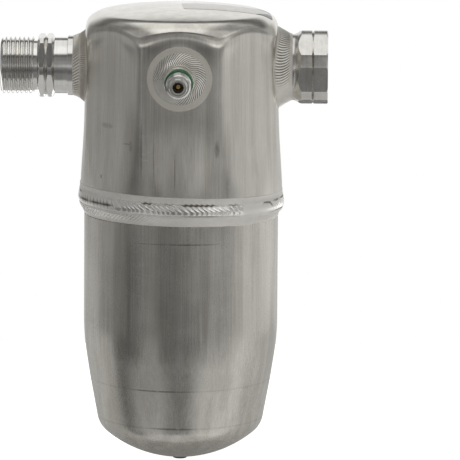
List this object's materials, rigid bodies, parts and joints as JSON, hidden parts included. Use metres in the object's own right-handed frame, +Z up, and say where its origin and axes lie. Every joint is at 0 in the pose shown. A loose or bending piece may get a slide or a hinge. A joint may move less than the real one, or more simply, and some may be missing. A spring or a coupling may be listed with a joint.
{
  "type": "suction line accumulator",
  "caption": "Welded aluminium accumulator can with domed ends, a female hexagon inlet, a threaded male outlet and a capless service port, for an air conditioning suction line.",
  "frame": {"origin": "centre of the straight outside of the lower shell, on the can's axis, where a strap clamp goes round it", "axes": "+Z up along the can's axis, +X towards the inlet, -X towards the outlet, -Y towards the service port"},
  "size_m": [0.1554, 0.1248, 0.2195],
  "materials": {
    "pressed_shell": "satin",
    "drawn_shell": "satin",
    "girth_bead": "rippled",
    "milled_fitting": "machined",
    "inlet_bead": "rippled",
    "turned_fitting": "polished",
    "outlet_bead": "rippled",
    "turned_port": "turned",
    "port_bead": "rippled",
    "green_rubber": "satin",
    "valve_brass": "dull",
    "white_seal": "matte",
    "pin_brass": "dull",
    "black_rubber": "matte",
    "spring_steel": "bright",
    "foil_label": "satin foil",
    "bright_stud": "polished",
    "drawn_tube": "satin",
    "black_plastic": "matte",
    "white_plastic": "matte",
    "mesh": "woven",
    "felt": "felt",
    "tie_plastic": "matte"
  },
  "bodies": {
    "can": {"upper_shell": "pressed_shell", "lower_shell": "drawn_shell", "girth_weld": "girth_bead", "inlet_fitting": "milled_fitting", "inlet_weld": "inlet_bead", "outlet_fitting": "turned_fitting", "outlet_weld": "outlet_bead", "service_port": "turned_port", "service_port_weld": "port_bead", "service_port_o_ring": "green_rubber", "valve_core_barrel": "valve_brass", "valve_core_gasket": "white_seal", "valve_spring": "spring_steel", "identification_label": "foil_label", "bottom_stud": "bright_stud", "suction_tube": "drawn_tube", "deflector_cap": "black_plastic", "bleed_filter_housing": "white_plastic", "bleed_filter_screen": "mesh", "desiccant_bag_rear": "felt", "desiccant_bag_front": "felt", "bag_tie": "tie_plastic"},
    "valve_pin": {"valve_pin": "pin_brass", "valve_pin_seal": "black_rubber"}
  },
  "joints": [
    {"name": "valve_press", "type": "slide", "parent": "can", "child": "valve_pin", "axis": [0, 1, 0], "range_m": [0, 0.0016], "stiffness_N_per_m": 1500, "springref_m": -0.001, "deforming": ["valve_spring"]}
  ]
}
